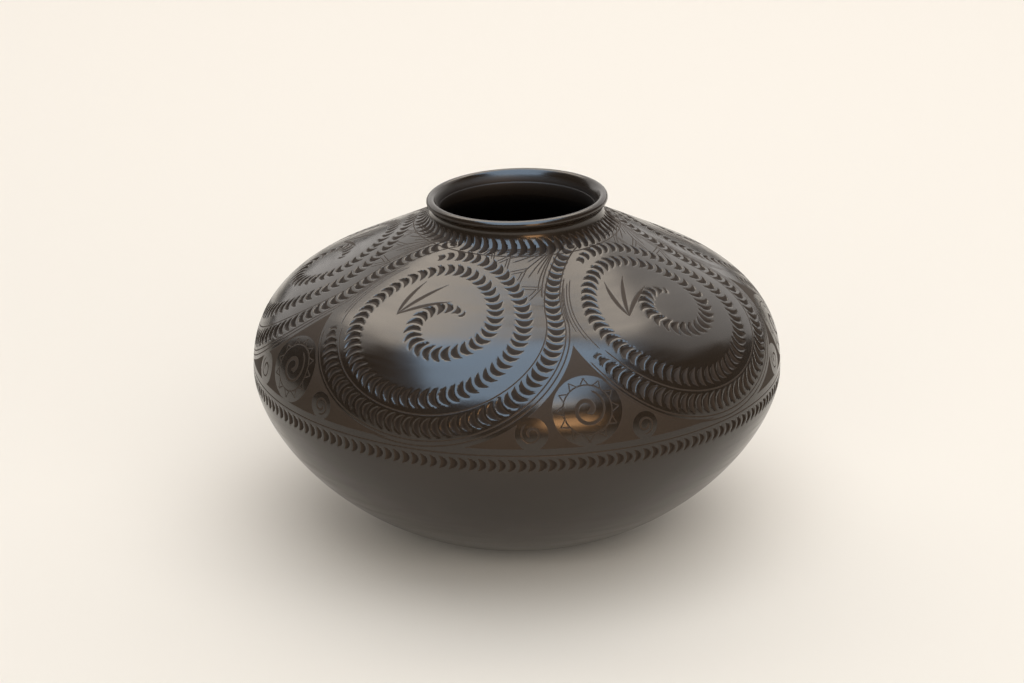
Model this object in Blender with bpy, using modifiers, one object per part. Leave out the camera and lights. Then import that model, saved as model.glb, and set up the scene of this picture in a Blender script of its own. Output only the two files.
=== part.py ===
"""Hand-built clay jar in burnished blackware: a wide, squat body under a short flared neck.

The jar is raised without a wheel from one clay slab and six coils. Each coil is luted to the
one below on a slanted lap, and the whole wall is then scraped to one curve. Where the wall
leans out or stands up, a coil's inner edge reaches down inside the wall below. On the shoulder,
where the wall leans in, its outer edge reaches out over the wall below, so that each coil
always rests on the last. Every piece here is a ring cut from that one wall, and its lap faces
take their place from the same curve as its neighbours'.

Metres, +Z up. The origin is the middle of the resting face.
"""

import math

import bpy

# Body outline, measured outside
BODY_RADIUS = 0.140
WIDEST_HEIGHT = 0.088
FOOT_RADIUS = 0.038
UNDERBODY_FULLNESS = 1.60
CROWN_RISE = 0.070
SHOULDER_FULLNESS = 2.44
SHOULDER_CURVE_END = 0.1045

# Neck and lip
NECK_RADIUS = 0.0452
NECK_FOOT_SWEEP = 0.0095
LIP_RADIUS = 0.0475
LIP_RISE = 0.025
LIP_THICKNESS = 0.0046

# Thickness of the clay
FLOOR_THICKNESS = 0.0070
BODY_WALL = 0.0055
NECK_WALL = 0.0042
FLOOR_TAPER_HEIGHT = 0.020

# Where the slab and the coils meet, on the outside of the wall: the slab's edge above the foot,
# two joints below and above the widest line, two below the crown, and one below the lip's top
SLAB_EDGE_HEIGHT = 0.016
UNDERBODY_JOINT_DROP = 0.034
BELLY_JOINT_RISE = 0.018
SHOULDER_JOINT_DROP = 0.018
NECK_JOINT_DROP = 0.003
RIM_COIL_DEPTH = 0.0100

# Luted laps, along the wall
LAP_LENGTH = 0.0060
RIM_LAP_LENGTH = 0.0030
LUTE_CLEARANCE = 0.0003

# Facets
TURN_STEPS = 60
CURVE_SAMPLES = 120
BODY_FACET = 0.0085
NECK_FACET = 0.0035
RIM_FACET = 0.0018
LIP_OUTER_STEPS = 5
LIP_INNER_STEPS = 3
FUNNEL_STEPS = 4
SQUARE_REACH = 0.002
LIP_UNDERCUT_ANGLE = math.radians(38)
CREASE_ANGLE = math.radians(32)

JAR = "clay_pot"


def superellipse(start, reach, fullness, angle):
    """A point on a superellipse quarter, from start sideways by reach[0] and up by reach[1]."""
    across = reach[0] * math.cos(angle) ** (2 / fullness)
    up = reach[1] * math.sin(angle) ** (2 / fullness)
    return start[0] + across, start[1] + up


def underbody(angle):
    """Outside of the lower wall: the foot's edge at a quarter turn, the widest line at zero."""
    return superellipse(
        (FOOT_RADIUS, WIDEST_HEIGHT), (BODY_RADIUS - FOOT_RADIUS, -WIDEST_HEIGHT), UNDERBODY_FULLNESS, angle
    )


def shoulder(angle):
    """Outside of the shoulder's curve: the widest line at zero, its crown on the axis at a quarter turn."""
    return superellipse((0, WIDEST_HEIGHT), (BODY_RADIUS, CROWN_RISE), SHOULDER_FULLNESS, angle)


def shoulder_slope(angle):
    """How steeply the shoulder climbs inwards at this angle of its curve, from level."""
    step = 1e-4
    r0, z0 = shoulder(angle - step)
    r1, z1 = shoulder(angle + step)
    return math.atan2(z1 - z0, r0 - r1)


def neck_foot(slope):
    """Where the shoulder's straight slope meets the arc that turns it up into the neck."""
    r, z = shoulder(CURVE_END)
    run = r - NECK_RADIUS - NECK_FOOT_SWEEP * (1 - math.sin(slope))
    return r - run, z + run * math.tan(slope)


def arc(centre, radius, start, end, steps):
    """Points along an arc, both ends included."""
    turns = (start + (end - start) * i / steps for i in range(steps + 1))
    return [(centre[0] + radius * math.cos(a), centre[1] + radius * math.sin(a)) for a in turns]


def straight(start, end, steps):
    """Points along a straight line, without its last."""
    shares = (i / steps for i in range(steps))
    return [(start[0] + (end[0] - start[0]) * t, start[1] + (end[1] - start[1]) * t) for t in shares]


def flare(bottom, top, steps):
    """A wall that leaves bottom upright and leans out evenly to top, without its first point."""
    shares = (i / steps for i in range(1, steps + 1))
    return [(bottom[0] + (top[0] - bottom[0]) * t * t, bottom[1] + (top[1] - bottom[1]) * t) for t in shares]


CURVE_END = math.acos((SHOULDER_CURVE_END / BODY_RADIUS) ** (SHOULDER_FULLNESS / 2))
SLOPE = shoulder_slope(CURVE_END)
NECK_FOOT = neck_foot(SLOPE)
SWEEP = (NECK_RADIUS + NECK_FOOT_SWEEP, NECK_FOOT[1] + NECK_FOOT_SWEEP * math.cos(SLOPE))
THROAT = (NECK_RADIUS - NECK_WALL, SWEEP[1])
CROWN = WIDEST_HEIGHT + CROWN_RISE
LIP_TOP = CROWN + LIP_RISE
BEAD_RADIUS = LIP_THICKNESS / 2
BEAD = (LIP_RADIUS - BEAD_RADIUS, LIP_TOP - BEAD_RADIUS)


def funnel_lean():
    """How far the funnel inside the mouth leans from upright where it runs into the lip."""
    lean = 0.0
    for _ in range(12):
        across = BEAD[0] - BEAD_RADIUS * math.cos(lean) - THROAT[0]
        up = BEAD[1] + BEAD_RADIUS * math.sin(lean) - THROAT[1]
        lean = math.atan(2 * across / up)
    return lean


def lip_arc():
    """The rolled lip, from its undercut outside, over the top, to the funnel inside."""
    top = math.pi / 2
    outer = arc(BEAD, BEAD_RADIUS, -LIP_UNDERCUT_ANGLE, top, LIP_OUTER_STEPS)
    inner = arc(BEAD, BEAD_RADIUS, top, math.pi - funnel_lean(), LIP_INNER_STEPS)
    return outer + inner[1:]


LIP = lip_arc()


def outer_curve():
    """The outside of the wall from the foot's edge to the lip's undercut, finely sampled."""
    quarter = math.pi / 2
    points = [underbody(quarter * (1 - i / CURVE_SAMPLES)) for i in range(CURVE_SAMPLES)]
    points += [shoulder(CURVE_END * i / CURVE_SAMPLES) for i in range(CURVE_SAMPLES)]
    points += straight(shoulder(CURVE_END), NECK_FOOT, CURVE_SAMPLES)
    points += arc(SWEEP, NECK_FOOT_SWEEP, -quarter - SLOPE, -math.pi, CURVE_SAMPLES)
    return points + flare(points[-1], LIP[0], CURVE_SAMPLES)


OUTSIDE = outer_curve()
LENGTHS = [0.0]
for before, after in zip(OUTSIDE, OUTSIDE[1:]):
    LENGTHS.append(LENGTHS[-1] + math.dist(before, after))
WIDEST_LENGTH = LENGTHS[CURVE_SAMPLES]
THROAT_LENGTH = LENGTHS[4 * CURVE_SAMPLES]


def clay_thickness(height):
    """The wall thins from the floor to the body, and again up the neck's sweep."""
    if height < FLOOR_TAPER_HEIGHT:
        return FLOOR_THICKNESS + (BODY_WALL - FLOOR_THICKNESS) * height / FLOOR_TAPER_HEIGHT
    if height < NECK_FOOT[1]:
        return BODY_WALL
    share = min(1.0, (height - NECK_FOOT[1]) / (SWEEP[1] - NECK_FOOT[1]))
    return BODY_WALL + (NECK_WALL - BODY_WALL) * share


def segment_at(length):
    """The stretch of the outside that holds this length along it, and the share along it."""
    index = 0
    while index < len(LENGTHS) - 2 and LENGTHS[index + 1] < length:
        index += 1
    return index, (length - LENGTHS[index]) / (LENGTHS[index + 1] - LENGTHS[index])


def outside_at(length):
    """The outside of the wall at a length up from the foot's edge."""
    index, share = segment_at(length)
    (r0, z0), (r1, z1) = OUTSIDE[index], OUTSIDE[index + 1]
    return r0 + (r1 - r0) * share, z0 + (z1 - z0) * share


def inside_at(length):
    """The inside of the wall, square across the clay from the same length outside."""
    r0, z0 = outside_at(max(0.0, length - SQUARE_REACH))
    r1, z1 = outside_at(min(LENGTHS[-1], length + SQUARE_REACH))
    run = math.hypot(r1 - r0, z1 - z0)
    r, z = outside_at(length)
    thickness = clay_thickness(z)
    return r - (z1 - z0) / run * thickness, z + (r1 - r0) / run * thickness


def length_at_height(height):
    """How far up the outside of the wall a height lies."""
    index = 0
    while index < len(OUTSIDE) - 2 and OUTSIDE[index + 1][1] < height:
        index += 1
    (_, z0), (_, z1) = OUTSIDE[index], OUTSIDE[index + 1]
    return LENGTHS[index] + (LENGTHS[index + 1] - LENGTHS[index]) * (height - z0) / (z1 - z0)


def stretch(point_at, start, end, facet):
    """Points on one side of the wall, evenly spaced from start to end, both included."""
    steps = max(2, math.ceil(abs(end - start) / facet))
    return [point_at(start + (end - start) * i / steps) for i in range(steps + 1)]


def joint_at(height, lap):
    """A joint: its length up the outside, and its length up the inside, further down by the lap."""
    length = length_at_height(height)
    return length, length - lap


def stand_off(point_at, length, lap):
    """How far up one side of the wall a coil's edge clears the lap below it by the lute's clearance."""
    r0, z0 = point_at(length)
    r1, z1 = point_at(length + SQUARE_REACH)
    climb = abs((r1 - r0) * lap[1] - (z1 - z0) * lap[0]) / math.hypot(*lap)
    return LUTE_CLEARANCE * SQUARE_REACH / climb


def lower_lap(joint):
    """The face of the coil above a joint, which stands off evenly by the lute's clearance."""
    outer, inner = joint
    (r0, z0), (r1, z1) = outside_at(outer), inside_at(inner)
    lap = (r1 - r0, z1 - z0)
    return outer + stand_off(outside_at, outer, lap), inner + stand_off(inside_at, inner, lap)


def ring_profile(low_joint, high_joint, facet):
    """Closed outline of one coil: down its outside, over the lower lap, up inside, and back."""
    low_outside, low_inside = lower_lap(low_joint)
    high_outside, high_inside = high_joint
    if low_outside < WIDEST_LENGTH < high_outside:
        outside = stretch(outside_at, high_outside, WIDEST_LENGTH, facet)
        outside += stretch(outside_at, WIDEST_LENGTH, low_outside, facet)[1:]
    else:
        outside = stretch(outside_at, high_outside, low_outside, facet)
    return outside + stretch(inside_at, low_inside, high_inside, facet)


def slab_profile(high_joint, facet):
    """The base slab's outline, from the axis on its floor round its edge to the axis beneath."""
    high_outside, high_inside = high_joint
    outside = stretch(outside_at, high_outside, 0.0, facet)
    inside = stretch(inside_at, 0.0, high_inside, facet)
    return [(0.0, FLOOR_THICKNESS)] + inside + outside + [(0.0, 0.0)]


def rim_profile(low_joint, facet):
    """Closed outline of the rim coil: down its outside, up throat and funnel, and back over the lip."""
    low_outside, low_inside = lower_lap(low_joint)
    outside = stretch(outside_at, LENGTHS[-1], low_outside, facet)
    throat = stretch(inside_at, low_inside, THROAT_LENGTH, facet)[:-1] + [THROAT]
    return outside + throat + flare(THROAT, LIP[-1], FUNNEL_STEPS) + LIP[-2:0:-1]


def clay(name, colour, roughness):
    """Smoke-blackened clay of one piece."""
    material = bpy.data.materials.new(name)
    material.use_nodes = True
    shader = material.node_tree.nodes["Principled BSDF"]
    shader.inputs["Base Color"].default_value = (*colour, 1.0)
    shader.inputs["Roughness"].default_value = roughness
    shader.inputs["Metallic"].default_value = 0.0
    return material


def turned(name, profile, closed, material, collection, parent):
    """Turns an outline about the jar's axis and gives the ring its own object."""
    mesh = bpy.data.meshes.new(name)
    edges = [(i, i + 1) for i in range(len(profile) - 1)]
    if closed:
        edges.append((len(profile) - 1, 0))
    mesh.from_pydata([(r, 0.0, z) for r, z in profile], edges, [])
    piece = bpy.data.objects.new(name, mesh)
    collection.objects.link(piece)
    screw = piece.modifiers.new("Turn", "SCREW")
    screw.steps = TURN_STEPS
    screw.render_steps = TURN_STEPS
    screw.use_merge_vertices = True
    screw.merge_threshold = 0.00001
    solid = bpy.data.meshes.new_from_object(piece.evaluated_get(bpy.context.evaluated_depsgraph_get()))
    piece.modifiers.remove(screw)
    piece.data = solid
    bpy.data.meshes.remove(mesh)
    solid.name = name
    solid.shade_smooth()
    solid.set_sharp_from_angle(angle=CREASE_ANGLE)
    solid.materials.append(material)
    piece.parent = parent
    return piece


def build():
    """Models the whole jar."""
    for leftover in list(bpy.data.objects):
        bpy.data.objects.remove(leftover)
    jar = bpy.data.collections.new(JAR)
    bpy.context.scene.collection.children.link(jar)
    axis = bpy.data.objects.new("jar_axis", None)
    jar.objects.link(axis)

    lap_inside = LAP_LENGTH
    lap_outside = -LAP_LENGTH
    slab_joint = joint_at(SLAB_EDGE_HEIGHT, lap_inside)
    underbody_joint = joint_at(WIDEST_HEIGHT - UNDERBODY_JOINT_DROP, lap_inside)
    belly_joint = joint_at(WIDEST_HEIGHT + BELLY_JOINT_RISE, lap_inside)
    shoulder_joint = joint_at(CROWN - SHOULDER_JOINT_DROP, lap_outside)
    neck_joint = joint_at(CROWN - NECK_JOINT_DROP, lap_outside)
    rim_joint = joint_at(LIP_TOP - RIM_COIL_DEPTH, RIM_LAP_LENGTH)

    coils = [
        ("lower_wall_coil", slab_joint, underbody_joint, BODY_FACET, (0.030, 0.027, 0.023), 0.34),
        ("belly_coil", underbody_joint, belly_joint, BODY_FACET, (0.028, 0.026, 0.024), 0.32),
        ("lower_shoulder_coil", belly_joint, shoulder_joint, BODY_FACET, (0.027, 0.026, 0.025), 0.30),
        ("upper_shoulder_coil", shoulder_joint, neck_joint, BODY_FACET, (0.029, 0.027, 0.026), 0.30),
        ("neck_coil", neck_joint, rim_joint, NECK_FACET, (0.022, 0.020, 0.019), 0.28),
    ]
    slab = slab_profile(slab_joint, BODY_FACET)
    turned("base_slab", slab, False, clay("base_slab_clay", (0.034, 0.031, 0.026), 0.42), jar, axis)
    for name, low, high, facet, colour, roughness in coils:
        outline = ring_profile(low, high, facet)
        turned(name, outline, True, clay(name + "_clay", colour, roughness), jar, axis)
    rim = rim_profile(rim_joint, RIM_FACET)
    turned("rim_coil", rim, True, clay("rim_coil_clay", (0.020, 0.018, 0.017), 0.24), jar, axis)


build()
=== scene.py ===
"""Looks of a hand-built clay jar in burnished blackware, carved from the neck to the widest line.

The wall's curve is the frame's own, repeated here so that the carving can lie on it. Each coil of
the frame gets a skin with a fine grid where it is carved. The gouges and incised lines follow
guide curves, and one Geometry Nodes tree cuts them into the skins.

The ornament is drawn on a chart of the wall. Across it runs the angle round the jar, and up it
runs the rise: the length up the wall, each step divided by the radius there. A circle on the
chart is then a circle on the clay, which shrinks with the jar's girth.
"""

import math

import bpy
import numpy as np
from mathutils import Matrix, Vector


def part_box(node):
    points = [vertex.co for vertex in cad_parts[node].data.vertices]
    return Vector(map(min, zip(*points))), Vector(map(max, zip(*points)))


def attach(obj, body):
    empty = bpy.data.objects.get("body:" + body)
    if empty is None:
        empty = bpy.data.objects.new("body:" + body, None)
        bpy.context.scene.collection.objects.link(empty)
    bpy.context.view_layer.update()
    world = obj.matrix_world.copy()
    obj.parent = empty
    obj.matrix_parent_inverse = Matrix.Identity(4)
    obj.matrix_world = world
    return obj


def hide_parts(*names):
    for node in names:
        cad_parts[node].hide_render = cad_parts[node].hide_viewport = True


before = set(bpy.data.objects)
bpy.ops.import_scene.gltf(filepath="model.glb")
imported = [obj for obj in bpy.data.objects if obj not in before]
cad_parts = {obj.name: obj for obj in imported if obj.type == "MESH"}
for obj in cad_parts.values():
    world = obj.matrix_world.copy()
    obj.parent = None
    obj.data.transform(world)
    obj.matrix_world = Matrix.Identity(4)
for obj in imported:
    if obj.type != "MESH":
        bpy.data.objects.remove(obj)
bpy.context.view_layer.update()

MM = 0.001
TURN = 2 * math.pi

# The wall's curve
BODY_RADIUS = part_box("belly_coil")[1].x
LIP_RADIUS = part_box("rim_coil")[1].x
LIP_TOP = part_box("rim_coil")[1].z
WIDEST_HEIGHT = 88 * MM
CROWN_RISE = 70 * MM
CROWN = WIDEST_HEIGHT + CROWN_RISE
FOOT_RADIUS = 38 * MM
UNDERBODY_FULLNESS = 1.60
SHOULDER_FULLNESS = 2.44
SHOULDER_CURVE_END = 104.5 * MM
NECK_RADIUS = 45.2 * MM
NECK_FOOT_SWEEP = 9.5 * MM
LIP_THICKNESS = 4.6 * MM
LIP_UNDERCUT = math.radians(38)
FLOOR_THICKNESS = 7.0 * MM
BODY_WALL = 5.5 * MM
NECK_WALL = 4.2 * MM
FLOOR_TAPER_HEIGHT = 20 * MM
CURVE_SAMPLES = 400

# Joints between the coils: heights on the outside, and how far a lap slants along the wall
SLAB_JOINT = 16 * MM
UNDERBODY_JOINT = WIDEST_HEIGHT - 34 * MM
BELLY_JOINT = WIDEST_HEIGHT + 18 * MM
SHOULDER_JOINT = CROWN - 18 * MM
NECK_JOINT = CROWN - 3 * MM
RIM_JOINT = LIP_TOP - 10 * MM
LAP = 6 * MM
RIM_LAP = 3 * MM

# Grids of the skins
CARVED_TURNS = 1200
PLAIN_TURNS = 400
CARVED_ROW = 0.72 * MM
BELLY_ROW = 0.9 * MM
PLAIN_ROW = 3.5 * MM
INSIDE_ROW = 8 * MM
NECK_ROW = 0.6 * MM
SEAM_ROW = 0.05 * MM
POLE_RING = 8 * MM
UNDER_ROWS = 5
FLOOR_ROWS = 4

# Gouges and incised lines, in real sizes
GOUGE_PITCH = 4.9 * MM
GOUGE_THICKNESS = 3.5 * MM
GOUGE_HALF = 4.0 * MM
GOUGE_HALF_LOW = 4.9 * MM
GOUGE_BOW = 0.34
GOUGE_DEPTH = 1.0 * MM
GOUGE_BACK = 0.80
GOUGE_THINNEST = 0.86 * GOUGE_THICKNESS
GOUGE_THICKEST = 1.1 * GOUGE_THICKNESS
GOUGE_POINTS = 0.62
CHAIN_TAPER = 14 * MM
CHAIN_END = 0.5
NECK_HALF = 5.2 * MM
BORDER_HALF = 3.5 * MM
LINE_HALF = 0.38 * MM
LINE_FLAT = 0.55
LINE_EDGE = 1.15
LINE_DEPTH = 0.08 * MM
GUIDE_STEP = 0.45 * MM
GUIDE_REACH = 1.6 * GUIDE_STEP
SNAP = 0.30 * MM
SNAP_BODY = 0.06

# Layout of the ornament on the chart
SCROLLS = 5
STRETCH = 0.33
SPACING = TURN / SCROLLS
FIRST_SCROLL = math.radians(-24.5)
SWEEP_REACH = SPACING / 2
BORDER_LENGTH = 142.2 * MM
BORDER_LINE = 147.5 * MM
NECK_BAND = 273.0 * MM
NECK_LINE = 267.2 * MM
BURNISH_END = LIP_TOP - 3.5 * MM
BURNISH_FADE = 2.5 * MM

# Tilt of the hand-built mouth, down to the left
MOUTH_TILT = math.radians(1.8)


def superellipse(start, reach, fullness, angle):
    """Points on a superellipse quarter, from start sideways by reach[0] and up by reach[1]."""
    across = reach[0] * np.cos(angle) ** (2 / fullness)
    up = reach[1] * np.sin(angle) ** (2 / fullness)
    return np.stack([start[0] + across, start[1] + up], axis=-1)


def underbody(angle):
    """Outside of the lower wall, from the widest line at zero to the foot's edge."""
    reach = (BODY_RADIUS - FOOT_RADIUS, -WIDEST_HEIGHT)
    return superellipse((FOOT_RADIUS, WIDEST_HEIGHT), reach, UNDERBODY_FULLNESS, angle)


def shoulder(angle):
    """Outside of the shoulder's curve, from the widest line at zero to its crown on the axis."""
    return superellipse((0, WIDEST_HEIGHT), (BODY_RADIUS, CROWN_RISE), SHOULDER_FULLNESS, angle)


def shoulder_slope(angle):
    """How steeply the shoulder climbs inwards at this angle of its curve, from level."""
    along = shoulder(angle + 1e-4) - shoulder(angle - 1e-4)
    return math.atan2(along[1], -along[0])


def neck_foot(slope):
    """Where the shoulder's straight slope meets the arc that turns it up into the neck."""
    radius, height = shoulder(CURVE_END)
    run = radius - NECK_RADIUS - NECK_FOOT_SWEEP * (1 - math.sin(slope))
    return np.array([radius - run, height + run * math.tan(slope)])


def arc(centre, radius, start, end, steps):
    """Points along an arc, both ends included."""
    angle = np.linspace(start, end, steps + 1)
    return np.stack([centre[0] + radius * np.cos(angle), centre[1] + radius * np.sin(angle)], axis=-1)


def flare(bottom, top, steps):
    """A wall that leaves bottom upright and leans out evenly to top."""
    share = np.linspace(0, 1, steps + 1)
    across = bottom[0] + (top[0] - bottom[0]) * share ** 2
    return np.stack([across, bottom[1] + (top[1] - bottom[1]) * share], axis=-1)


CURVE_END = math.acos((SHOULDER_CURVE_END / BODY_RADIUS) ** (SHOULDER_FULLNESS / 2))
SLOPE = shoulder_slope(CURVE_END)
NECK_FOOT = neck_foot(SLOPE)
SWEEP = (NECK_RADIUS + NECK_FOOT_SWEEP, NECK_FOOT[1] + NECK_FOOT_SWEEP * math.cos(SLOPE))
THROAT = (NECK_RADIUS - NECK_WALL, SWEEP[1])
BEAD_RADIUS = LIP_THICKNESS / 2
BEAD = (LIP_RADIUS - BEAD_RADIUS, LIP_TOP - BEAD_RADIUS)


def funnel_lean():
    """How far the funnel inside the mouth leans from upright where it runs into the lip."""
    lean = 0.0
    for _ in range(12):
        across = BEAD[0] - BEAD_RADIUS * math.cos(lean) - THROAT[0]
        up = BEAD[1] + BEAD_RADIUS * math.sin(lean) - THROAT[1]
        lean = math.atan(2 * across / up)
    return lean


LIP = arc(BEAD, BEAD_RADIUS, -LIP_UNDERCUT, math.pi - funnel_lean(), 24)


def outer_curve():
    """The outside of the wall from the foot's edge to the lip's undercut."""
    share = np.linspace(0, 1, CURVE_SAMPLES, endpoint=False)
    lower = underbody(math.pi / 2 * (1 - share))
    upper = shoulder(CURVE_END * share)
    slope = shoulder(CURVE_END) + share[:, None] * (NECK_FOOT - shoulder(CURVE_END))
    sweep = arc(SWEEP, NECK_FOOT_SWEEP, -math.pi / 2 - SLOPE, -math.pi, CURVE_SAMPLES)
    return np.concatenate([lower, upper, slope, sweep[:-1], flare(sweep[-1], LIP[0], CURVE_SAMPLES)])


OUTSIDE = outer_curve()
STEPS = np.hypot(*np.diff(OUTSIDE, axis=0).T)
LENGTHS = np.concatenate([[0.0], np.cumsum(STEPS)])
THROAT_LENGTH = LENGTHS[4 * CURVE_SAMPLES]
RISES = np.concatenate([[0.0], np.cumsum(STEPS / (OUTSIDE[1:, 0] + OUTSIDE[:-1, 0]) * 2)])
RISES -= RISES[CURVE_SAMPLES]


def outside_at(length):
    """Radius and height of the wall's outside at a length up from the foot's edge."""
    radius = np.interp(length, LENGTHS, OUTSIDE[:, 0])
    height = np.interp(length, LENGTHS, OUTSIDE[:, 1])
    return np.stack([radius, height], axis=-1)


def outward_at(length):
    """Unit vector square to the wall, radius and height parts."""
    reach = 0.4 * MM
    ahead = outside_at(np.minimum(length + reach, LENGTHS[-1]))
    along = ahead - outside_at(np.maximum(length - reach, 0.0))
    along /= np.linalg.norm(along, axis=-1, keepdims=True)
    return np.stack([along[..., 1], -along[..., 0]], axis=-1)


def clay_thickness(height):
    """The wall thins from the floor to the body, and again up the neck's sweep."""
    heights = [0.0, FLOOR_TAPER_HEIGHT, NECK_FOOT[1], SWEEP[1]]
    return np.interp(height, heights, [FLOOR_THICKNESS, BODY_WALL, BODY_WALL, NECK_WALL])


def inside_at(length):
    """The wall's inside, square across the clay from the same length outside."""
    point = outside_at(length)
    return point - outward_at(length) * clay_thickness(point[..., 1])[..., None]


def length_at_height(height):
    """How far up the outside of the wall a height lies."""
    return float(np.interp(height, OUTSIDE[:, 1], LENGTHS))


def rise_at(length):
    """Rise on the chart of a length up the wall."""
    return float(np.interp(length, LENGTHS, RISES))


def rows_between(start, end, row):
    """Lengths from start to end, evenly spaced, with a thin row by each end for true shading there."""
    steps = max(2, math.ceil(abs(end - start) / row))
    seam = math.copysign(SEAM_ROW, end - start)
    return np.concatenate([[start], np.linspace(start + seam, end - seam, steps), [end]])


def wall_point(azimuth, rise):
    """Point on the jar's outside for a point of the chart. Azimuth grows to the right from the front."""
    radius, height = outside_at(np.interp(rise, RISES, LENGTHS)).T
    return np.stack([radius * np.sin(azimuth), -radius * np.cos(azimuth), height], axis=-1)


# Skins


def ring_rows(low, high, row, lap_low, lap_high):
    """One coil's outline: up its outside, over the upper lap, down inside and back under."""
    outside = rows_between(low, high, row)
    inside = rows_between(high - lap_high, low - lap_low, INSIDE_ROW)
    points = np.concatenate([outside_at(outside), inside_at(inside)])
    outward = np.concatenate([outward_at(outside), -outward_at(inside)])
    carved = np.repeat([1.0, 0.0], [len(outside), len(inside)])
    corners = [0, len(outside) - 1, len(outside), len(points) - 1]
    lengths = np.concatenate([outside, np.full(len(inside), -1.0)])
    return points, outward, carved, corners, lengths


def slab_rows(high):
    """The base slab's outline, from beneath the middle, round the edge, to the floor's middle."""
    across = np.linspace(POLE_RING, FOOT_RADIUS - 1 * MM, UNDER_ROWS)
    under = np.stack([across, np.zeros(UNDER_ROWS)], axis=-1)
    outside = rows_between(0.0, high, PLAIN_ROW / 2)
    inside = rows_between(high - LAP, 0.0, PLAIN_ROW)
    across = np.linspace(FOOT_RADIUS - 6 * MM, POLE_RING, FLOOR_ROWS)
    floor = np.stack([across, np.full(FLOOR_ROWS, FLOOR_THICKNESS)], axis=-1)
    points = np.concatenate([under, outside_at(outside), inside_at(inside), floor])
    down = np.tile([0.0, -1.0], (UNDER_ROWS, 1))
    up = np.tile([0.0, 1.0], (FLOOR_ROWS, 1))
    outward = np.concatenate([down, outward_at(outside), -outward_at(inside), up])
    edge = UNDER_ROWS + len(outside)
    carved = np.zeros(len(points))
    lengths = np.full(len(points), -1.0)
    lengths[UNDER_ROWS:edge] = outside
    return points, outward, carved, [UNDER_ROWS, edge - 1, edge], lengths


def rim_rows(low):
    """The rim coil's outline: up its outside, over the lip, and down the funnel inside."""
    outside = rows_between(low, LENGTHS[-1], NECK_ROW)
    funnel = flare(THROAT, LIP[-1], 24)[::-1]
    throat = rows_between(THROAT_LENGTH, low - RIM_LAP, NECK_ROW)
    points = np.concatenate([outside_at(outside), LIP[1:], funnel[1:], inside_at(throat)[1:]])
    around = np.roll(points, -1, axis=0) - np.roll(points, 1, axis=0)
    around /= np.linalg.norm(around, axis=-1, keepdims=True)
    outward = np.stack([around[:, 1], -around[:, 0]], axis=-1)
    outward[: len(outside)] = outward_at(outside)
    carved = np.zeros(len(points))
    carved[: len(outside)] = 1.0
    lengths = np.full(len(points), -1.0)
    lengths[: len(outside)] = outside
    return points, outward, carved, [0, len(points) - 1], lengths


def revolve(profile, azimuth):
    """Turns pairs of radius and height about the jar's axis, into a ring of points for each pair."""
    across = profile[:, 0, None]
    height = np.broadcast_to(profile[:, 1, None], (len(profile), len(azimuth)))
    return np.stack([across * np.sin(azimuth), -across * np.cos(azimuth), height], axis=-1).reshape(-1, 3)


def skin(name, outline, turns, poles=False):
    """Turns an outline about the jar's axis into a closed mesh that carries what the carving needs."""
    points, outward, carved, corners, lengths = outline
    count = len(points)
    azimuth = np.arange(turns) * TURN / turns
    co = revolve(points, azimuth)
    rows = np.arange(count - 1 if poles else count)
    here = rows[:, None] * turns + np.arange(turns)
    there = (rows[:, None] + 1) % count * turns + np.arange(turns)
    quads = np.stack([here, np.roll(here, -1, 1), np.roll(there, -1, 1), there], axis=-1).reshape(-1, 4)
    faces = quads.tolist()
    if poles:
        first, last = count * turns, count * turns + 1
        co = np.concatenate([co, [[0, 0, points[0, 1]], [0, 0, points[-1, 1]]]])
        faces += [(first, (j + 1) % turns, j) for j in range(turns)]
        top = (count - 1) * turns
        faces += [(last, top + j, top + (j + 1) % turns) for j in range(turns)]
    mesh = bpy.data.meshes.new(name)
    mesh.from_pydata(co.tolist(), [], faces)
    mesh.update()
    spare = len(co) - count * turns
    facing = np.concatenate([revolve(outward, azimuth), np.tile([0.0, 0.0, 1.0], (spare, 1))])
    mesh.attributes.new("outward", "FLOAT_VECTOR", "POINT").data.foreach_set("vector", facing.ravel())
    store(mesh, "carved", np.concatenate([np.repeat(carved, turns), np.zeros(spare)]))
    each_length = np.repeat(lengths, turns)
    store(mesh, "wall_length", np.concatenate([each_length, np.full(spare, -1.0)]))
    paint = painted_area(np.tile(azimuth, count), np.interp(each_length, LENGTHS, RISES))
    paint[each_length < 0] = -1.0
    store(mesh, "paint", np.concatenate([paint, np.full(spare, -1.0)]))
    sharpen(mesh, turns, corners)
    piece = bpy.data.objects.new(name, mesh)
    bpy.context.scene.collection.objects.link(piece)
    return piece


def store(mesh, name, values):
    """Keeps one number for each vertex on a mesh."""
    mesh.attributes.new(name, "FLOAT", "POINT").data.foreach_set("value", np.asarray(values, np.float32))


def sharpen(mesh, turns, corners):
    """Marks the edges round a skin's lap corners as sharp, and shades the rest smooth."""
    mesh.shade_smooth()
    ends = np.empty(len(mesh.edges) * 2, np.int32)
    mesh.edges.foreach_get("vertices", ends)
    row = ends.reshape(-1, 2) // turns
    sharp = (row[:, 0] == row[:, 1]) & np.isin(row[:, 0], corners)
    mesh.attributes.new("sharp_edge", "BOOLEAN", "EDGE").data.foreach_set("value", sharp)


# Ornament on the chart


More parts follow.
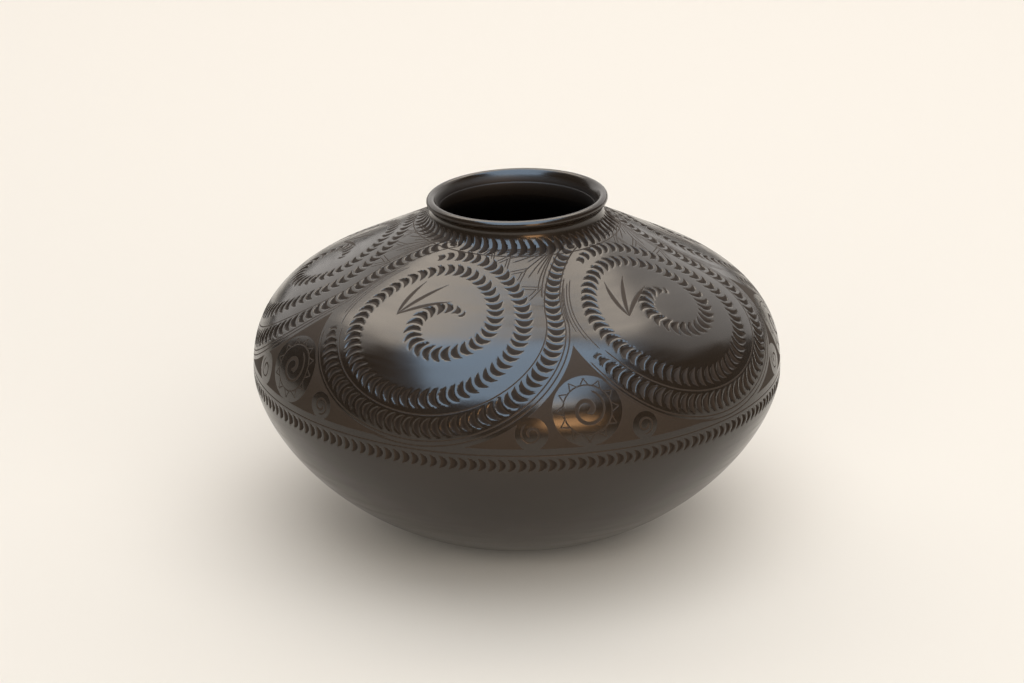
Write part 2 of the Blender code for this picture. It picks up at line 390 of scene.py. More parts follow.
# Places and sizes on the chart. Places are given from the middle of a scroll
SCROLL_RISE = rise_at(BORDER_LINE) + 0.64
SCROLL_RADIUS = 0.465
SCROLL_HEART = 0.105
HEART = (0.055, -0.075)
SCROLL_START = math.radians(126)
SCROLL_TURNS = 2.2
SCROLL_LOOP = 0.45
SWEEP_TUCK = 0.075
SWEEP_TUCK_ANGLE = math.radians(110)
SWEEP_END = math.radians(-150)
SWEEP_TOP = math.radians(111)
SWEEP_SIDE_LINES = ((-0.046, SWEEP_TOP), (0.048, SWEEP_TOP), (0.066, math.radians(150)))
HATCH_RADIUS = 0.520
HATCH_STEP = 0.017
HATCH_STARTS = np.radians([150, 154, 158, 162])
HATCH_ENDS = np.radians([206, 199, 192, 185])
FIELD_INSET = 0.083
FIELD_INSET_NEXT = 0.058
FIELD_BOTTOM = -0.615
FIELD_TOP = -0.1
FAN_APEX = (0.865, 0.60)
FAN_ROOT = 0.045
FAN_LINES = 12
FAN_RADIUS = 0.60
FAN_FIRST = math.radians(78)
FAN_LAST = math.radians(14)
FAN_START = 0.08
FAN_REACHES = (0.74, 0.98, 0.98)
TRIANGLE_RADIUS = 0.525
TRIANGLE_ANGLES = np.radians([21, 38, 55, 72])
TRIANGLE_SIZES = ((0.110, 0.120), (0.060, 0.068))
DISC = (0.685, -0.483)
DISC_RADIUS = 0.132
DISC_RING = 0.092
DISC_TRIANGLES = 12
BEADS = ((0.478, -0.560), (0.898, -0.568))
BEAD_SIZES = (0.060, 0.050)
BEAD_STARTS = (200, -20)
CURL_HEART = 0.012
LEAF_ROOT = np.array([-0.225, -0.075])
LEAVES = ((104, 0.27), (74, 0.33), (48, 0.30))
LEAF_BEND = math.radians(-16)
LEAF_TIP = 0.30


def motif_point(index, path):
    """Lays a path that is drawn round a scroll's centre on the wall, stretched towards the neck."""
    x, y = path[:, 0], path[:, 1]
    rise = SCROLL_RISE + y + STRETCH * np.maximum(y, 0) ** 2
    return wall_point(FIRST_SCROLL + index * SPACING + x, rise)


def motif_height(rise):
    """The height in the motifs' drawing that a rise on the chart came from."""
    y = rise - SCROLL_RISE
    above = (np.sqrt(1 + 4 * STRETCH * np.maximum(y, 0)) - 1) / (2 * STRETCH)
    return np.where(y > 0, above, y)


def ease(share):
    """Goes smoothly from 0 to 1."""
    return 0.5 - 0.5 * np.cos(np.pi * np.clip(share, 0, 1))


def round_path(centre, radius, start, end, steps=60):
    """Points round a centre from one angle to another, in radians. Radius may change along them."""
    angle = np.linspace(start, end, steps)
    radius = np.broadcast_to(radius, angle.shape)
    return np.stack([centre[0] + radius * np.cos(angle), centre[1] + radius * np.sin(angle)], axis=-1)


def sweep_radius(angle):
    """Reach of a sweep from the scroll that it runs under: it tucks in as it passes below."""
    return SWEEP_REACH - SWEEP_TUCK * ease(np.maximum(-angle, 0) / SWEEP_TUCK_ANGLE)


def sweep_path(aside, top=SWEEP_TOP):
    """A line aside of a sweep: down round the next scroll from the neck, then under this one."""
    upper = round_path((SPACING, 0), SWEEP_REACH - aside, top, math.pi, 80)
    radius = sweep_radius(np.linspace(0, SWEEP_END, 160)) + aside
    lower = round_path((0, 0), radius, 0, SWEEP_END, 160)
    return np.concatenate([upper, lower[1:]])


def scroll_path():
    """The scroll: from the neck once round its loop, and on inwards to its heart."""
    turns = np.linspace(0, SCROLL_TURNS, 420)
    angle = SCROLL_START - TURN * turns
    lead_in = 0.03 * np.maximum(0, 1 - turns / 0.2) ** 2
    inwards = ease((turns - SCROLL_LOOP) / (SCROLL_TURNS - SCROLL_LOOP))
    radius = SCROLL_RADIUS - (SCROLL_RADIUS - SCROLL_HEART) * inwards + lead_in
    heart = inwards[:, None] * np.array(HEART)
    return heart + np.stack([radius * np.cos(angle), radius * np.sin(angle)], axis=-1)


def distance(x, y, centre):
    """Distance on the chart from a centre."""
    return np.hypot(x - centre[0], y - centre[1])


def painted_area(azimuth, rise):
    """Millimetres inside the matte painted areas, negative outside them.

    They fill the fields between two sweeps and the lower border, but leave polished discs open, and
    cover the point that the fans spread from.
    """
    x = (azimuth - FIRST_SCROLL) % SPACING
    y = motif_height(rise)
    from_sweep = distance(x, y, (0, 0)) - sweep_radius(np.arctan2(y, x)) - FIELD_INSET
    from_next = distance(x, y, (SPACING, 0)) - sweep_radius(np.arctan2(y, x - SPACING)) - FIELD_INSET_NEXT
    around_disc = distance(x, y, DISC) - DISC_RADIUS
    field = np.minimum.reduce([from_sweep, from_next, y - FIELD_BOTTOM, FIELD_TOP - y, around_disc])
    for bead, size in zip(BEADS, BEAD_SIZES):
        field = np.minimum(field, distance(x, y, bead) - size)
    fan_root = FAN_ROOT - distance(x, y, FAN_APEX)
    radius = np.interp(rise, RISES, OUTSIDE[:, 0])
    return np.maximum(field, fan_root) * radius / MM


def fan_lines():
    """Lines that spread from a point by the neck over the field between two scrolls."""
    apex = np.array(FAN_APEX)
    lines = []
    for count, share_of_turn in enumerate(np.linspace(0, 1, FAN_LINES)):
        turn = FAN_FIRST + (FAN_LAST - FAN_FIRST) * share_of_turn
        foot = FAN_RADIUS * np.array([math.cos(turn), math.sin(turn)])
        middle = (apex + foot) / 2 + np.array([0.03 - 0.15 * share_of_turn, -0.02 + 0.04 * share_of_turn])
        share = np.linspace(FAN_START, FAN_REACHES[count % 3], 24)[:, None]
        lines.append((1 - share) ** 2 * apex + 2 * share * (1 - share) * middle + share ** 2 * foot)
    return lines


def triangle(centre, radius, angle, half_width, height):
    """An open triangle that stands on a circle round centre and points away from it."""
    corners = [(radius, angle - half_width), (radius + height, angle), (radius, angle + half_width)]
    return np.array([(centre[0] + r * math.cos(a), centre[1] + r * math.sin(a)) for r, a in corners])


def densify(points, spacing=0.01):
    """Adds points along a polyline, so that it follows the round wall."""
    parts = [points[:1]]
    for start, end in zip(points, points[1:]):
        steps = max(1, math.ceil(np.hypot(*(end - start)) / spacing))
        parts.append(start + (end - start) * np.linspace(0, 1, steps + 1)[1:, None])
    return np.concatenate(parts)


def curl(centre, inner, outer, start, turns, thick, thin):
    """A stroke that uncurls from thick at the centre to thin at its end."""
    steps = 60
    radius = np.linspace(inner, outer, steps)
    path = round_path(centre, radius, math.radians(start), math.radians(start + 360 * turns), steps)
    return path, np.linspace(thick, thin, steps)


def leaf_stroke(root, angle, reach, bend, thick):
    """A brushed stroke from a root, swollen past its middle."""
    share = np.linspace(0, 1, 30)
    heading = angle + bend * share
    path = root + np.stack([share * reach * np.cos(heading), share * reach * np.sin(heading)], axis=-1)
    return path, LEAF_TIP + thick * np.sin(np.pi * np.minimum(share * 1.08, 1)) ** 0.8


def motif_lines():
    """Incised lines of one scroll and the fields to its right: points and half width in mm."""
    fine = LINE_HALF / MM
    lines = [(sweep_path(aside, top), fine) for aside, top in SWEEP_SIDE_LINES]
    for step, (start, end) in enumerate(zip(HATCH_STARTS, HATCH_ENDS)):
        lines.append((round_path((SPACING, 0), HATCH_RADIUS + HATCH_STEP * step, start, end), fine * 0.8))
    lines += [(line, fine) for line in fan_lines()]
    for angle in TRIANGLE_ANGLES:
        for half_width, height in TRIANGLE_SIZES:
            outline = triangle((0, 0), TRIANGLE_RADIUS, angle, half_width, height)
            lines.append((densify(outline), fine * 0.9))
    lines.append(curl(DISC, CURL_HEART, outer=0.070, start=-60, turns=1.35, thick=1.5, thin=0.5))
    lines.append((round_path(DISC, DISC_RING, 0, TURN), fine))
    for angle in np.arange(DISC_TRIANGLES) * TURN / DISC_TRIANGLES:
        outline = triangle(DISC, DISC_RING, angle, half_width=0.19, height=0.026)
        lines.append((densify(outline), fine * 0.8))
    for bead, size, start in zip(BEADS, BEAD_SIZES, BEAD_STARTS):
        lines.append(curl(bead, CURL_HEART, size * 0.66, start, turns=-1.2, thick=0.7, thin=0.4))
    for angle, reach in LEAVES:
        lines.append(leaf_stroke(LEAF_ROOT, math.radians(angle), reach, LEAF_BEND, thick=1.0))
    return lines


def all_round(length):
    """A level ring round the jar."""
    azimuth = np.linspace(0, TURN, 720, endpoint=False)
    return wall_point(azimuth, np.full_like(azimuth, rise_at(length)))


def guide_curves(name, open_paths, rings):
    """One curve object that holds guides on the wall, with their half widths as radii."""
    data = bpy.data.curves.new(name, "CURVE")
    data.dimensions = "3D"
    for points, half, closed in open_paths + rings:
        spline = data.splines.new("POLY")
        spline.points.add(len(points) - 1)
        spline.points.foreach_set("co", np.column_stack([points, np.ones(len(points))]).ravel())
        spline.points.foreach_set("radius", np.broadcast_to(half, len(points)).astype(np.float32))
        spline.use_cyclic_u = closed
    guide = bpy.data.objects.new(name, data)
    bpy.context.scene.collection.objects.link(guide)
    return guide


def repeated(paths):
    """The same paths at every scroll, laid on the wall."""
    placed = []
    for index in range(SCROLLS):
        placed += [(motif_point(index, path), half, False) for path, half in paths]
    return placed


def chain_width(path):
    """Half widths of a chain: wider low on the wall, where there is more room."""
    return GOUGE_HALF + (GOUGE_HALF_LOW - GOUGE_HALF) * ease(0.5 - path[:, 1])


def gouge_guides():
    """Where the chains of gouges run."""
    chains = repeated([(path, chain_width(path)) for path in (scroll_path(), sweep_path(0.0))])
    bands = [(all_round(NECK_BAND), NECK_HALF, True), (all_round(BORDER_LENGTH), BORDER_HALF, True)]
    return guide_curves("gouge_guides", chains, bands)


def line_guides():
    """Where the incised lines and strokes run."""
    strokes = [(path, np.asarray(half) * MM) for path, half in motif_lines()]
    rings = [(all_round(length), LINE_HALF, True) for length in (BORDER_LINE, NECK_LINE)]
    return guide_curves("line_guides", repeated(strokes), rings)


# Nodes


def add(tree, kind, inputs=(), **settings):
    """Adds a node with its settings, and sets or links its inputs."""
    node = tree.nodes.new(kind)
    for key, value in settings.items():
        setattr(node, key, value)
    for key, value in inputs.items() if isinstance(inputs, dict) else enumerate(inputs):
        if isinstance(value, bpy.types.Node):
            value = next(socket for socket in value.outputs if socket.enabled)
        if isinstance(value, bpy.types.NodeSocket):
            tree.links.new(value, node.inputs[key])
        elif value is not None:
            node.inputs[key].default_value = value
    return node


def gouge_shape(tree, chain, tau):
    """How deep a gouge is, 0 to 1, at a place along its chain and a share of its half width across.

    Each gouge is a crescent. It deepens slowly from its back edge and ends in a steep front wall.
    """
    number = add(tree, "ShaderNodeMath", [chain], operation="FLOOR")
    cell = add(tree, "ShaderNodeMath", [chain, number], operation="SUBTRACT")
    whim = add(tree, "ShaderNodeTexWhiteNoise", {"W": number}, noise_dimensions="1D")
    squared = add(tree, "ShaderNodeMath", [tau, tau], operation="MULTIPLY")
    body = add(tree, "ShaderNodeMath", [1.0, squared], operation="SUBTRACT", use_clamp=True)
    leaf = add(tree, "ShaderNodeMath", [body, GOUGE_POINTS], operation="POWER")
    thinnest, thickest = GOUGE_THINNEST / GOUGE_PITCH, GOUGE_THICKEST / GOUGE_PITCH
    girth = add(tree, "ShaderNodeMapRange", {"Value": whim, "To Min": thinnest, "To Max": thickest})
    thick = add(tree, "ShaderNodeMath", [leaf, girth], operation="MULTIPLY")
    some = add(tree, "ShaderNodeMath", [thick, 0.001], operation="MAXIMUM")
    share = add(tree, "ShaderNodeMath", [cell, some], operation="DIVIDE")
    back = add(tree, "ShaderNodeMath", [share, GOUGE_BACK], operation="DIVIDE")
    left = add(tree, "ShaderNodeMath", [1.0, share], operation="SUBTRACT")
    front = add(tree, "ShaderNodeMath", [left, 1 - GOUGE_BACK], operation="DIVIDE")
    lower = add(tree, "ShaderNodeMath", [back, front], operation="MINIMUM", use_clamp=True)
    hollow = add(tree, "ShaderNodeMath", [body, 0.5], operation="POWER")
    depth = add(tree, "ShaderNodeMath", [lower, hollow], operation="MULTIPLY")
    short = add(tree, "ShaderNodeMath", [cell, thick], operation="SUBTRACT")
    return depth, short, body


def guide_points(tree, guide, step, pitch, taper):
    """Points along the guides, with the place in the chain and the half width there."""
    info = add(tree, "GeometryNodeObjectInfo", [guide], transform_space="ORIGINAL")
    curve = add(tree, "GeometryNodeResampleCurve", {"Curve": info.outputs["Geometry"], "Length": step},
                mode="LENGTH")
    length = add(tree, "GeometryNodeSplineParameter").outputs["Length"]
    total = add(tree, "GeometryNodeSplineLength").outputs["Length"]
    whole = add(tree, "ShaderNodeMath", [total, pitch], operation="DIVIDE")
    count = add(tree, "ShaderNodeMath", [whole], operation="ROUND")
    each = add(tree, "ShaderNodeMath", [length, total], operation="DIVIDE")
    place = add(tree, "ShaderNodeMath", [each, count], operation="MULTIPLY")
    rest = add(tree, "ShaderNodeMath", [total, length], operation="SUBTRACT")
    nearer = add(tree, "ShaderNodeMath", [length, rest], operation="MINIMUM")
    thin = add(tree, "ShaderNodeMapRange", {"Value": nearer, "From Max": taper, "To Min": CHAIN_END})
    ringed = add(tree, "GeometryNodeInputSplineCyclic")
    full = add(tree, "ShaderNodeMath", [thin, ringed], operation="MAXIMUM")
    half = add(tree, "ShaderNodeMath", [add(tree, "GeometryNodeInputRadius"), full], operation="MULTIPLY")
    for name, value in (("place", place), ("half", half)):
        curve = add(tree, "GeometryNodeStoreNamedAttribute",
                    {"Geometry": curve, "Name": name, "Value": value})
    return add(tree, "GeometryNodeCurveToPoints", {"Curve": curve}, mode="EVALUATED")


def beside(tree, points, by_face):
    """Place, half width, distances onward, across and beyond an end from the nearest guide point."""
    position = add(tree, "GeometryNodeInputPosition")
    nearest = add(tree, "GeometryNodeSampleNearest", [points.outputs["Points"], position])
    if by_face:
        nearest = add(tree, "GeometryNodeFieldOnDomain", [nearest], data_type="INT", domain="FACE")
    at = {}
    for key, kind, value in (
        ("position", "FLOAT_VECTOR", position),
        ("tangent", "FLOAT_VECTOR", points.outputs["Tangent"]),
        ("place", "FLOAT", add(tree, "GeometryNodeInputNamedAttribute", ["place"], data_type="FLOAT")),
        ("half", "FLOAT", add(tree, "GeometryNodeInputNamedAttribute", ["half"], data_type="FLOAT")),
    ):
        inputs = {"Geometry": points.outputs["Points"], "Value": value, "Index": nearest}
        at[key] = add(tree, "GeometryNodeSampleIndex", inputs, data_type=kind, domain="POINT")
    outward = add(tree, "GeometryNodeInputNamedAttribute", ["outward"], data_type="FLOAT_VECTOR")
    aside = add(tree, "ShaderNodeVectorMath", [outward, at["tangent"]], operation="CROSS_PRODUCT")
    reach = add(tree, "ShaderNodeVectorMath", [position, at["position"]], operation="SUBTRACT")
    onward = add(tree, "ShaderNodeVectorMath", [reach, at["tangent"]], operation="DOT_PRODUCT")
    across = add(tree, "ShaderNodeVectorMath", [reach, aside], operation="DOT_PRODUCT")
    far = add(tree, "ShaderNodeMath", [onward], operation="ABSOLUTE")
    beyond = add(tree, "ShaderNodeMath", [far, GUIDE_REACH], operation="SUBTRACT")
    beyond = add(tree, "ShaderNodeMath", [beyond, 0.0], operation="MAXIMUM")
    at.update(onward=onward, across=across, beyond=beyond)
    return at


def hypotenuse(tree, first, second):
    """Length of the slanted side over two square ones."""
    squares = [add(tree, "ShaderNodeMath", [side, side], operation="MULTIPLY") for side in (first, second)]
    total = add(tree, "ShaderNodeMath", squares, operation="ADD")
    return add(tree, "ShaderNodeMath", [total], operation="SQRT")


def gouge_place(tree, at, pitch, bow):
    """Place along a chain, bent to the crescents' bow, and the share of the half width across."""
    slant = hypotenuse(tree, at["across"], at["beyond"])
    tau = add(tree, "ShaderNodeMath", [slant, at["half"]], operation="DIVIDE")
    squared = add(tree, "ShaderNodeMath", [tau, tau], operation="MULTIPLY")
    body = add(tree, "ShaderNodeMath", [1.0, squared], operation="SUBTRACT", use_clamp=True)
    bend = add(tree, "ShaderNodeMath", [body, at["half"]], operation="MULTIPLY")
    bend = add(tree, "ShaderNodeMath", [bend, bow], operation="MULTIPLY")
    onward = add(tree, "ShaderNodeMath", [at["onward"], bend], operation="SUBTRACT")
    cells = add(tree, "ShaderNodeMath", [onward, pitch], operation="DIVIDE")
    return add(tree, "ShaderNodeMath", [at["place"], cells], operation="ADD"), tau


def carving_tree():
    """Cuts the gouges into a skin, and marks gouges and lines for the clay's finish."""
    tree = bpy.data.node_groups.new("carve_clay", "GeometryNodeTree")
    sockets = {}
    kinds = {"Skin": "Geometry", "Gouge Guides": "Object", "Line Guides": "Object", "Clay": "Material"}
    sizes = ("Pitch", "Bow", "Gouge Depth", "Full Half Width", "Taper", "Guide Step", "Snap")
    for name in (*kinds, *sizes):
        kind = "NodeSocket" + kinds.get(name, "Float")
        sockets[name] = tree.interface.new_socket(name, in_out="INPUT", socket_type=kind).identifier
    tree.interface.new_socket("Carved Skin", in_out="OUTPUT", socket_type="NodeSocketGeometry")
    given = tree.nodes.new("NodeGroupInput").outputs
    step, pitch, snap = given["Guide Step"], given["Pitch"], given["Snap"]
    gouges = guide_points(tree, given["Gouge Guides"], step, pitch, given["Taper"])
    lines = guide_points(tree, given["Line Guides"], step, pitch, 1e-6)
    carved = add(tree, "GeometryNodeInputNamedAttribute", ["carved"], data_type="FLOAT")
    outward = add(tree, "GeometryNodeInputNamedAttribute", ["outward"], data_type="FLOAT_VECTOR")

    # Vertices close to a gouge's front edge move onto it, so that it is cut clean
    by_gouge = beside(tree, gouges, False)
    chain, tau = gouge_place(tree, by_gouge, pitch, given["Bow"])
    depth, short, body = gouge_shape(tree, chain, tau)
    short = add(tree, "ShaderNodeMath", [short, pitch], operation="MULTIPLY")
    gap = add(tree, "ShaderNodeMath", [short], operation="ABSOLUTE")
    close = add(tree, "ShaderNodeMath", [gap, snap], operation="LESS_THAN")
    wide = add(tree, "ShaderNodeMath", [body, SNAP_BODY], operation="GREATER_THAN")
    apply = add(tree, "ShaderNodeMath", [close, wide], operation="MULTIPLY")
    move = add(tree, "ShaderNodeMath", [short, apply], operation="MULTIPLY")
    move = add(tree, "ShaderNodeMath", [move, -1.0], operation="MULTIPLY")
    offset = add(tree, "ShaderNodeVectorMath", {0: by_gouge["tangent"], "Scale": move}, operation="SCALE")
    skin_here = add(tree, "GeometryNodeSetPosition",
                    {"Geometry": given["Skin"], "Selection": carved, "Offset": offset})

    # Marks for the finish, kept at face corners so that they stay true up to each edge
    face_gouge = beside(tree, gouges, True)
    chain_mark, tau_mark = gouge_place(tree, face_gouge, pitch, given["Bow"])
    face_line = beside(tree, lines, True)
    line_mark = add(tree, "ShaderNodeMath", [face_line["across"], face_line["half"]], operation="DIVIDE")
    end_mark = add(tree, "ShaderNodeMath", [face_line["beyond"], face_line["half"]], operation="DIVIDE")
    marks = {"chain": chain_mark, "tau": tau_mark, "line": line_mark, "line_end": end_mark}
    for name, value in marks.items():
        skin_here = add(tree, "GeometryNodeStoreNamedAttribute",
                        {"Geometry": skin_here, "Name": name, "Value": value}, domain="CORNER")

    # The cut itself
    fuller = add(tree, "ShaderNodeMath", [by_gouge["half"], given["Full Half Width"]], operation="DIVIDE")
    cut = add(tree, "ShaderNodeMath", [depth, fuller], operation="MULTIPLY")
    cut = add(tree, "ShaderNodeMath", [cut, given["Gouge Depth"]], operation="MULTIPLY")
    deepest = add(tree, "ShaderNodeMath", [cut, -1.0], operation="MULTIPLY")
    offset = add(tree, "ShaderNodeVectorMath", {0: outward, "Scale": deepest}, operation="SCALE")
    skin_here = add(tree, "GeometryNodeSetPosition",
                    {"Geometry": skin_here, "Selection": carved, "Offset": offset})
    whole = add(tree, "GeometryNodeRealizeInstances", {"Geometry": skin_here})
    finished = add(tree, "GeometryNodeSetMaterial", {"Geometry": whole, "Material": given["Clay"]})
    add(tree, "NodeGroupOutput", [finished])
    return tree, sockets


def carve(piece, tree, sockets, values):
    """Runs the carving on a skin and keeps the result as its plain mesh."""
    modifier = piece.modifiers.new("Carve", "NODES")
    modifier.node_group = tree
    for name, value in values.items():
        modifier[sockets[name]] = value
    bpy.context.view_layer.update()
    evaluated = piece.evaluated_get(bpy.context.evaluated_depsgraph_get())
    finished = bpy.data.meshes.new_from_object(evaluated)
    piece.modifiers.remove(modifier)
    plain = piece.data
    piece.data = finished
    bpy.data.meshes.remove(plain)
    finished.name = piece.name


def tilt_mouth(piece):
    """Leans the neck and lip a little to the left, down from their true height, as hand-built ones do."""
    co = np.empty(len(piece.data.vertices) * 3)
    piece.data.vertices.foreach_get("co", co)
    co = co.reshape(-1, 3)
    share = ease((co[:, 2] - NECK_FOOT[1]) / (LIP_TOP - NECK_FOOT[1]))
    co[:, 2] -= share * math.tan(MOUTH_TILT) * (LIP_RADIUS - co[:, 0])
    piece.data.vertices.foreach_set("co", co.ravel())
    piece.data.update()


# Materials


# The clay's patterns and finish. Real grit is finer than the grain here, which is drawn to show
CLOUD_SIZE = 45.45 * MM
DENT_SIZE = 26.32 * MM
GRAIN_SIZE = 0.5263 * MM
STREAK_LENGTH = 38.46 * MM
STREAK_HEIGHT = 3.03 * MM
DENT_DEPTH = 0.35 * MM
STREAK_DEPTH = 0.06 * MM
GRAIN_DEPTH = 0.08 * MM
OPEN_SHARE = 0.04
PAINT_EDGE = 0.12
SCRAPED_SHARE = 0.75
# How far painted shade darkens the deepest part of a gouge towards near black
RECESS_SHADE_SHARE = 0.75
POLISHED_ROUGHNESS = 0.15
STREAKED_ROUGHNESS = 0.27
MATTE_ROUGHNESS = 0.72
CLAY_IOR = 1.5


def linear(colour):
    """A hex sRGB colour as linear values with alpha."""
    parts = [int(colour[i:i + 2], 16) / 255 for i in (1, 3, 5)]
    return [c / 12.92 if c <= 0.04045 else ((c + 0.055) / 1.055) ** 2.4 for c in parts] + [1.0]


def burnished_blackware(name):
    """Smoke-blackened clay: stone burnished where it is left whole, matte where cut or painted.

    Burnishing lays down a dense carbon skin, a deep soft mirror with faint level streaks. Cuts and
    painted slip show the dull brown-grey clay, and painted shade darkens each gouge towards its
    deepest part. Inside, the burnish ends in the mouth's funnel.
    """
    material = bpy.data.materials.new(name)
    material.use_nodes = True
    tree = material.node_tree
    shader = tree.nodes["Principled BSDF"]
    marks = {key: add(tree, "ShaderNodeAttribute", attribute_name=key).outputs["Fac"]
             for key in ("chain", "tau", "line", "line_end", "paint", "carved", "wall_length")}
    depth, _, _ = gouge_shape(tree, marks["chain"], marks["tau"])
    cut = add(tree, "ShaderNodeMath", [depth, OPEN_SHARE], operation="GREATER_THAN")
    stroke = hypotenuse(tree, marks["line"], marks["line_end"])
    groove = add(tree, "ShaderNodeMapRange",
                 {"Value": stroke, "From Min": LINE_FLAT, "From Max": LINE_EDGE,
                  "To Min": 1.0, "To Max": 0.0},
                 interpolation_type="SMOOTHSTEP")
    groove = add(tree, "ShaderNodeMath", [groove, marks["carved"]], operation="MULTIPLY")
    open_clay = add(tree, "ShaderNodeMath", [cut, marks["carved"]], operation="MULTIPLY")
    paint = add(tree, "ShaderNodeMapRange",
                {"Value": marks["paint"], "From Min": -PAINT_EDGE, "From Max": PAINT_EDGE})
    cut_or_line = add(tree, "ShaderNodeMath", [open_clay, groove], operation="MAXIMUM")
    where = add(tree, "ShaderNodeTexCoord").outputs["Object"]
    height = add(tree, "ShaderNodeSeparateXYZ", [where]).outputs["Z"]
    below = add(tree, "ShaderNodeMapRange",
                {"Value": height, "From Min": BURNISH_END - BURNISH_FADE, "From Max": BURNISH_END,
                 "To Min": SCRAPED_SHARE, "To Max": 0.0})
    inside = add(tree, "ShaderNodeMath", [marks["wall_length"], 0.0], operation="LESS_THAN")
    scraped = add(tree, "ShaderNodeMath", [inside, below], operation="MULTIPLY")
    matte = add(tree, "ShaderNodeMath", [cut_or_line, paint], operation="MAXIMUM")
    unburnished = add(tree, "ShaderNodeMath", [matte, scraped], operation="MAXIMUM")

    stretch = (1 / STREAK_LENGTH, 1 / STREAK_LENGTH, 1 / STREAK_HEIGHT)
    level = add(tree, "ShaderNodeMapping", {"Vector": where, "Scale": stretch})
    streaks = add(tree, "ShaderNodeTexNoise",
                  {"Vector": level, "Scale": 1.0, "Detail": 4.0, "Roughness": 0.6})
    clouds = add(tree, "ShaderNodeTexNoise", {"Vector": where, "Scale": 1 / CLOUD_SIZE, "Detail": 3.0})
    dents = add(tree, "ShaderNodeTexNoise", {"Vector": where, "Scale": 1 / DENT_SIZE, "Detail": 1.0})
    grain = add(tree, "ShaderNodeTexNoise", {"Vector": where, "Scale": 1 / GRAIN_SIZE, "Detail": 2.0})

    polished = add(tree, "ShaderNodeMix", {"Factor": clouds, 6: linear("#1b140d"), 7: linear("#271e15")},
                   data_type="RGBA")
    dull = add(tree, "ShaderNodeMix", {"Factor": grain, 6: linear("#261e17"), 7: linear("#3a3027")},
               data_type="RGBA")
    # Painted shade: gouge floors darken towards their deepest part, standing in for the shadow inside the
    # cut
    recess_shade = add(tree, "ShaderNodeMath", [depth, open_clay], operation="MULTIPLY")
    recess_shade = add(tree, "ShaderNodeMath", [recess_shade, RECESS_SHADE_SHARE], operation="MULTIPLY")
    dull = add(tree, "ShaderNodeMix", {"Factor": recess_shade, 6: dull.outputs[2], 7: linear("#120d09")},
               data_type="RGBA")
    colour = add(tree, "ShaderNodeMix", {"Factor": matte, 6: polished.outputs[2], 7: dull.outputs[2]},
                 data_type="RGBA")
    sheen = add(tree, "ShaderNodeMix", {"Factor": matte, 6: linear("#ffffff"), 7: linear("#9c9088")},
                data_type="RGBA")
    gloss = add(tree, "ShaderNodeMapRange",
                {"Value": streaks, "From Min": 0.3, "From Max": 0.7,
                 "To Min": POLISHED_ROUGHNESS, "To Max": STREAKED_ROUGHNESS})
    rough = add(tree, "ShaderNodeMix", {"Factor": unburnished, 2: gloss, 3: MATTE_ROUGHNESS},
                data_type="FLOAT")

    sunk = add(tree, "ShaderNodeMath", [groove, -1.0], operation="MULTIPLY")
    fine = add(tree, "ShaderNodeMath", [grain, matte], operation="MULTIPLY")
    surface = None
    for strength, relief, pattern in (
        (1.0, DENT_DEPTH, dents),
        (0.4, STREAK_DEPTH, streaks),
        (1.0, LINE_DEPTH, sunk),
        (0.5, GRAIN_DEPTH, fine),
    ):
        surface = add(tree, "ShaderNodeBump",
                      {"Strength": strength, "Distance": relief, "Height": pattern, "Normal": surface})

    tree.links.new(colour.outputs[2], shader.inputs["Base Color"])
    tree.links.new(sheen.outputs[2], shader.inputs["Specular Tint"])
    tree.links.new(rough.outputs[0], shader.inputs["Roughness"])
    tree.links.new(surface.outputs[0], shader.inputs["Normal"])
    shader.inputs["IOR"].default_value = CLAY_IOR
    return material


def plain_surface(name, colour, roughness):
    """The stage's plain matte surface."""
    material = bpy.data.materials.new(name)
    material.use_nodes = True
    shader = material.node_tree.nodes["Principled BSDF"]
    shader.inputs["Base Color"].default_value = linear(colour)
    shader.inputs["Roughness"].default_value = roughness
    return material


# Stage, light and camera


# Watts on each square metre of a soft panel that a mirror shows as white
WHITE_PANEL = 4.0
PANELS_AIM = Vector((0, 0, 0.1))
SURROUND_STRENGTH = 0.1
CAMERA_LENS = 100.0
CAMERA_PLACE = (-0.0026, -1.4157, 0.6377)
CAMERA_DROP = 20.83


def stage():
    """A plain pale floor under a plain surround."""
    mesh = bpy.data.meshes.new("floor")
    far = 12.0
    mesh.from_pydata([(-far, -far, 0), (far, -far, 0), (far, far, 0), (-far, far, 0)], [], [(0, 1, 2, 3)])
    mesh.materials.append(plain_surface("pale_floor", "#e3ded6", 0.8))
    floor = bpy.data.objects.new("floor", mesh)
    bpy.context.scene.collection.objects.link(floor)
    world = bpy.data.worlds.new("surround")
    bpy.context.scene.world = world
    world.use_nodes = True
    background = world.node_tree.nodes["Background"]
    background.inputs["Color"].default_value = linear("#f4f2f0")
    background.inputs["Strength"].default_value = SURROUND_STRENGTH


def softbox(name, place, size, brightness, colour, lights=True, mirrored=True):
    """A soft panel that faces the jar. Brightness is what a mirror would show of it, 1 is white.

    It lights the matte surfaces, shows in the burnished ones, or does both.
    """
    light = bpy.data.lights.new(name, "AREA")
    light.shape = "RECTANGLE"
    light.size, light.size_y = size
    light.energy = brightness * WHITE_PANEL * size[0] * size[1]
    light.color = linear(colour)[:3]
    box = bpy.data.objects.new(name, light)
    box.location = place
    box.rotation_mode = "QUATERNION"
    box.rotation_quaternion = (PANELS_AIM - Vector(place)).to_track_quat("-Z", "Y")
    box.visible_camera = False
    box.visible_diffuse = lights
    box.visible_glossy = mirrored
    bpy.context.scene.collection.objects.link(box)


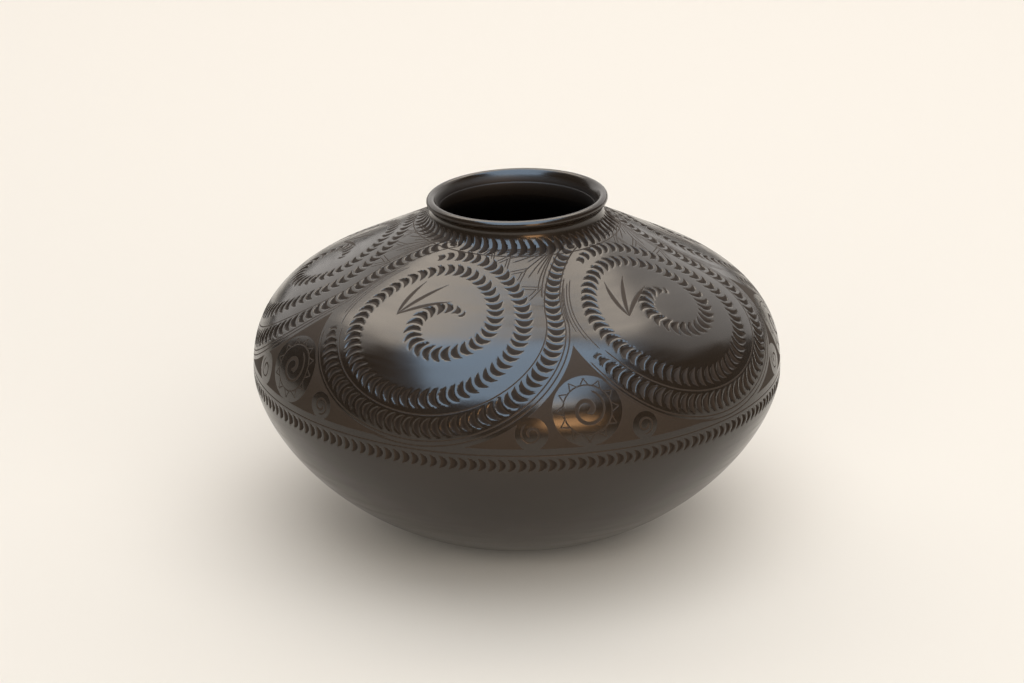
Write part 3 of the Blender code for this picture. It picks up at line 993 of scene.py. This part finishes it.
def lights():
    """A soft light for floor and clay, and the pale wall, sky and low sun that the burnish mirrors."""
    softbox("fill_softbox", (0.4, -0.7, 2.4), (3.2, 3.2), 1.25, "#fffdfa", mirrored=False)
    softbox("low_fill_softbox", (0.3, -3.4, 1.5), (6.0, 2.6), 1.9, "#fffaf2", mirrored=False)
    softbox("wall_softbox", (0, 1.33, 1.2), (4.4, 2.35), 0.95, "#fffaf5")
    softbox("window_softbox", (-0.12, 0.72, 1.42), (1.7, 0.85), 2.9, "#fff0dd", lights=False)
    softbox("sky_softbox", (-0.04, -0.6, 1.9), (2.1, 2.3), 4.2, "#c4e2ff", lights=False)
    softbox("warm_softbox", (0.68, -1.87, 0.59), (0.7, 0.3), 10.0, "#ffc083", lights=False)
    softbox("glint_softbox", (0.55, -1.5, 1.3), (0.55, 0.25), 5.0, "#fff4e6", lights=False)


def camera():
    """The photograph's view: a long lens about 21 degrees above level."""
    data = bpy.data.cameras.new("camera")
    data.sensor_width = 36.0
    data.lens = CAMERA_LENS
    view = bpy.data.objects.new("camera", data)
    view.location = CAMERA_PLACE
    view.rotation_euler = (math.radians(90 - CAMERA_DROP), 0, 0)
    bpy.context.scene.collection.objects.link(view)
    bpy.context.scene.camera = view


def build():
    """Dresses the frame and sets the stage."""
    lap_in, lap_out = LAP, -LAP
    slab_joint = length_at_height(SLAB_JOINT)
    wall_joint = length_at_height(UNDERBODY_JOINT)
    belly_joint = length_at_height(BELLY_JOINT)
    shoulder_joint = length_at_height(SHOULDER_JOINT)
    neck_joint = length_at_height(NECK_JOINT)
    rim_joint = length_at_height(RIM_JOINT)

    clay = burnished_blackware("burnished_blackware")
    body, carved, rim = "burnished_body_clay", "carved_shoulder_clay", "polished_rim_clay"
    lower_wall = ring_rows(slab_joint, wall_joint, PLAIN_ROW / 2, lap_in, lap_in)
    belly = ring_rows(wall_joint, belly_joint, BELLY_ROW, lap_in, lap_in)
    lower_shoulder = ring_rows(belly_joint, shoulder_joint, CARVED_ROW, lap_in, lap_out)
    upper_shoulder = ring_rows(shoulder_joint, neck_joint, CARVED_ROW, lap_out, lap_out)
    neck = ring_rows(neck_joint, rim_joint, NECK_ROW, lap_out, RIM_LAP)
    skins = [
        ("base_slab", slab_rows(slab_joint), PLAIN_TURNS, body),
        ("lower_wall_coil", lower_wall, PLAIN_TURNS, body),
        ("belly_coil", belly, CARVED_TURNS, body),
        ("lower_shoulder_coil", lower_shoulder, CARVED_TURNS, carved),
        ("upper_shoulder_coil", upper_shoulder, CARVED_TURNS, carved),
        ("neck_coil", neck, CARVED_TURNS, carved),
        ("rim_coil", rim_rows(rim_joint), CARVED_TURNS, rim),
    ]
    tree, sockets = carving_tree()
    guides = {"Gouge Guides": gouge_guides(), "Line Guides": line_guides()}
    values = {
        "Pitch": GOUGE_PITCH,
        "Bow": GOUGE_BOW,
        "Gouge Depth": GOUGE_DEPTH,
        "Full Half Width": GOUGE_HALF,
        "Taper": CHAIN_TAPER,
        "Guide Step": GUIDE_STEP,
        "Snap": SNAP,
        "Clay": clay,
    }
    for node, outline, turns, slot in skins:
        piece = skin(node + "_skin", outline, turns, poles=node == "base_slab")
        carve(piece, tree, sockets, {**guides, **values})
        if node in ("neck_coil", "rim_coil"):
            tilt_mouth(piece)
        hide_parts(node)
        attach(piece, "root")
    for guide in guides.values():
        bpy.data.objects.remove(guide)
    stage()
    lights()
    camera()


build()
bpy.context.scene.view_settings.view_transform = "Standard"
